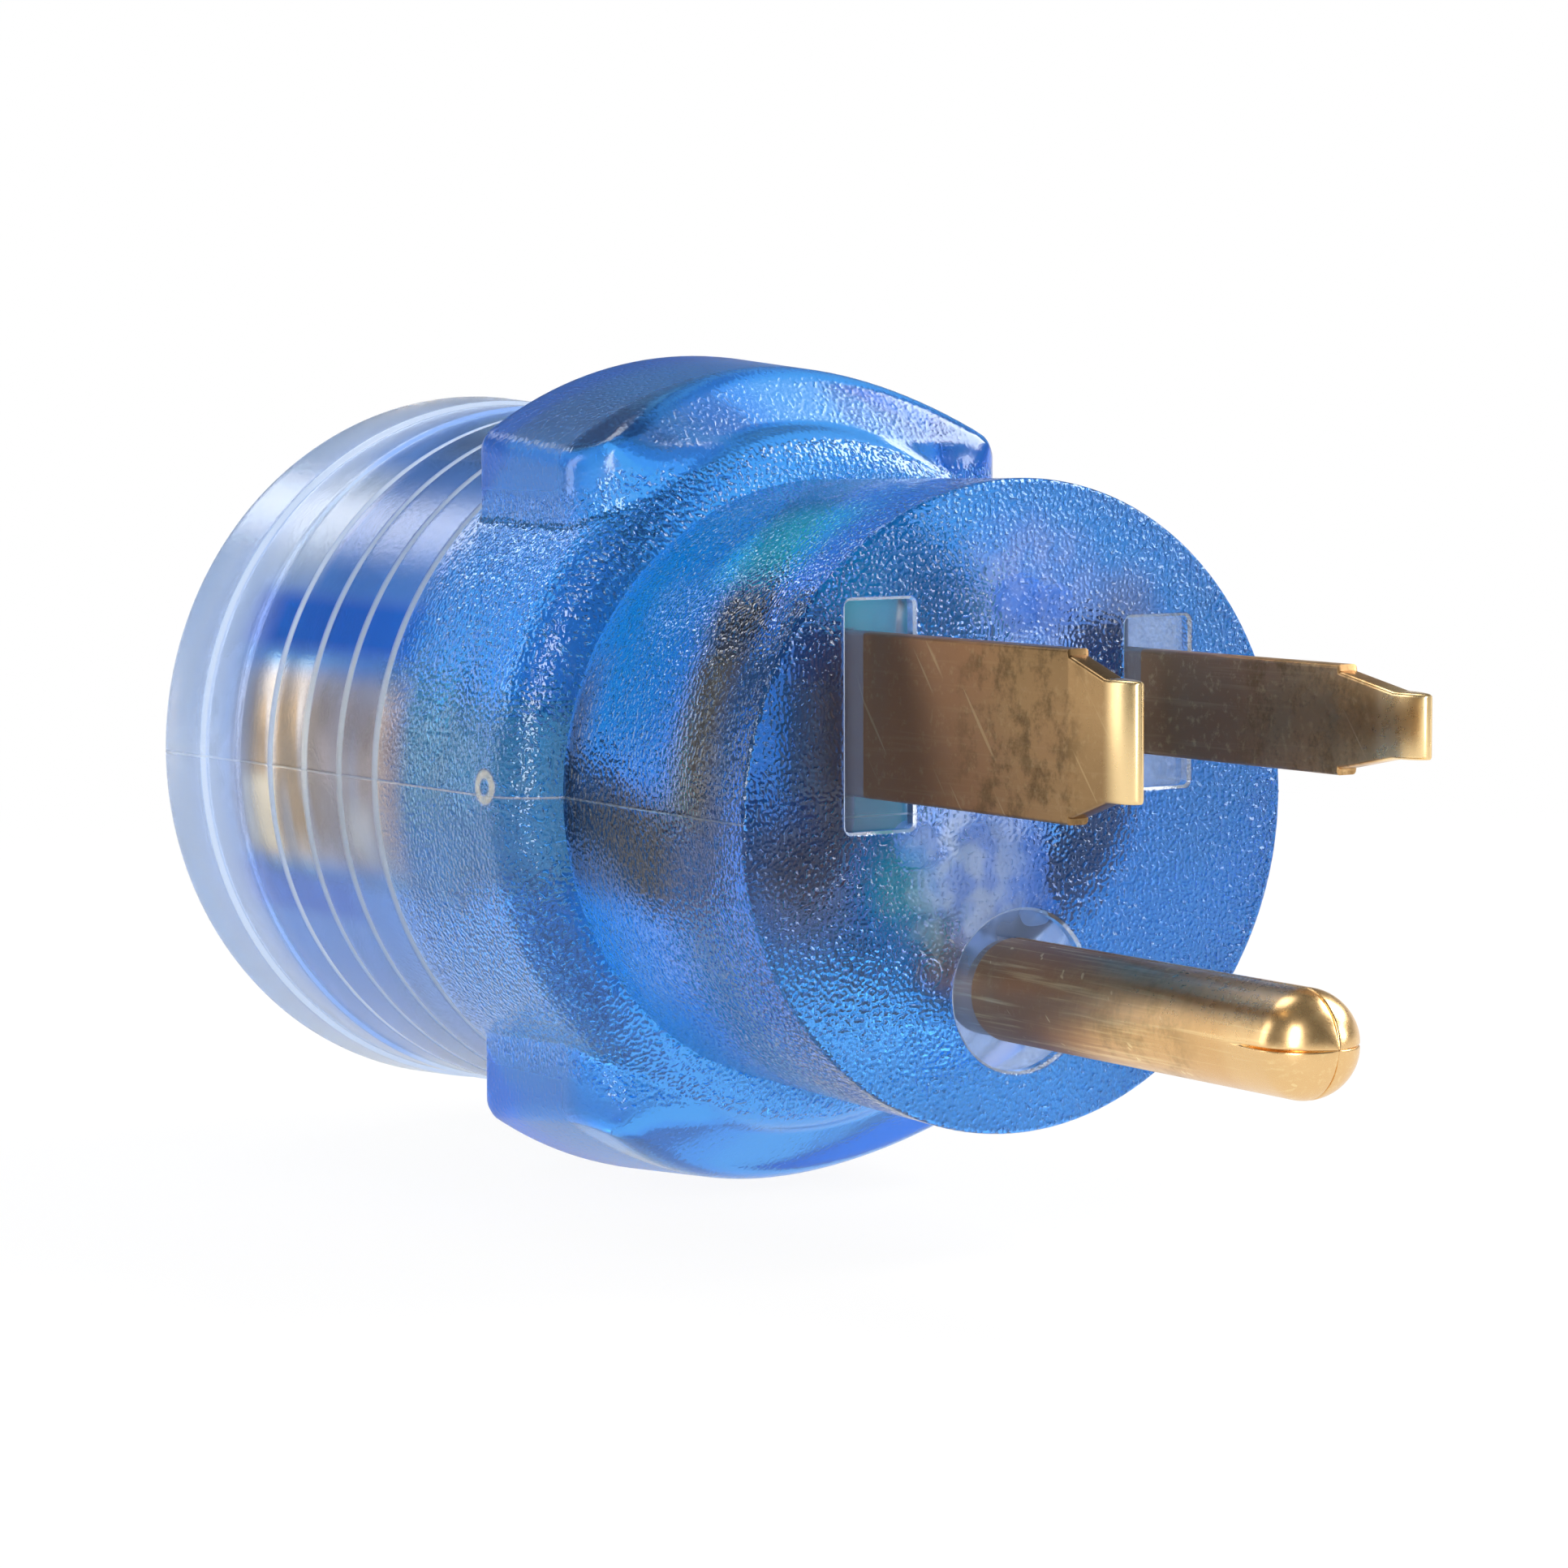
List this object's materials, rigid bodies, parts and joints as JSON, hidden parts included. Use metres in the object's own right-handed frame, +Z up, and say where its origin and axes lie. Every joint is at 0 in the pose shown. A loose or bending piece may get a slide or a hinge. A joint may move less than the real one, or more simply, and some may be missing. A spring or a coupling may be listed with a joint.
{
  "type": "generator plug adapter",
  "caption": "Round translucent blue moulded adapter with a straight-blade grounded plug in front, a grip wing above and below, a grooved barrel and a locking outlet at the rear.",
  "frame": {"origin": "centre of the flat plug face, on the axis of the round body", "axes": "-Y is the plug face's outward normal and the way the prongs point, +Y runs along the body to the outlet, +Z is up with the ground pin below the blades"},
  "size_m": [0.061, 0.1237, 0.0678],
  "materials": {
    "blue_overmould": "translucent soft plastic with a fine spark texture",
    "clear_insulator": "clear, slightly milky",
    "brass": "bare, tarnished at the root",
    "contact_brass": "bare, bright",
    "spring_steel": "satin",
    "copper": "bare copper strands",
    "black_insulation": "satin",
    "green_insulation": "satin"
  },
  "bodies": {
    "root": {"overmould_body": "blue_overmould", "prong_bridge": "clear_insulator", "carrier_cap": "clear_insulator", "contact_carrier": "clear_insulator", "outlet_face": "clear_insulator", "wide_blade": "brass", "narrow_blade": "brass", "ground_pin": "brass", "wide_contact": "contact_brass", "narrow_contact": "contact_brass", "ground_contact": "contact_brass", "wide_contact_spring": "spring_steel", "narrow_contact_spring": "spring_steel", "ground_contact_spring": "spring_steel", "wide_wire_conductor": "copper", "narrow_wire_conductor": "copper", "ground_wire_conductor": "copper", "wide_wire_insulation": "black_insulation", "narrow_wire_insulation": "black_insulation", "ground_wire_insulation": "green_insulation"}
  },
  "joints": []
}
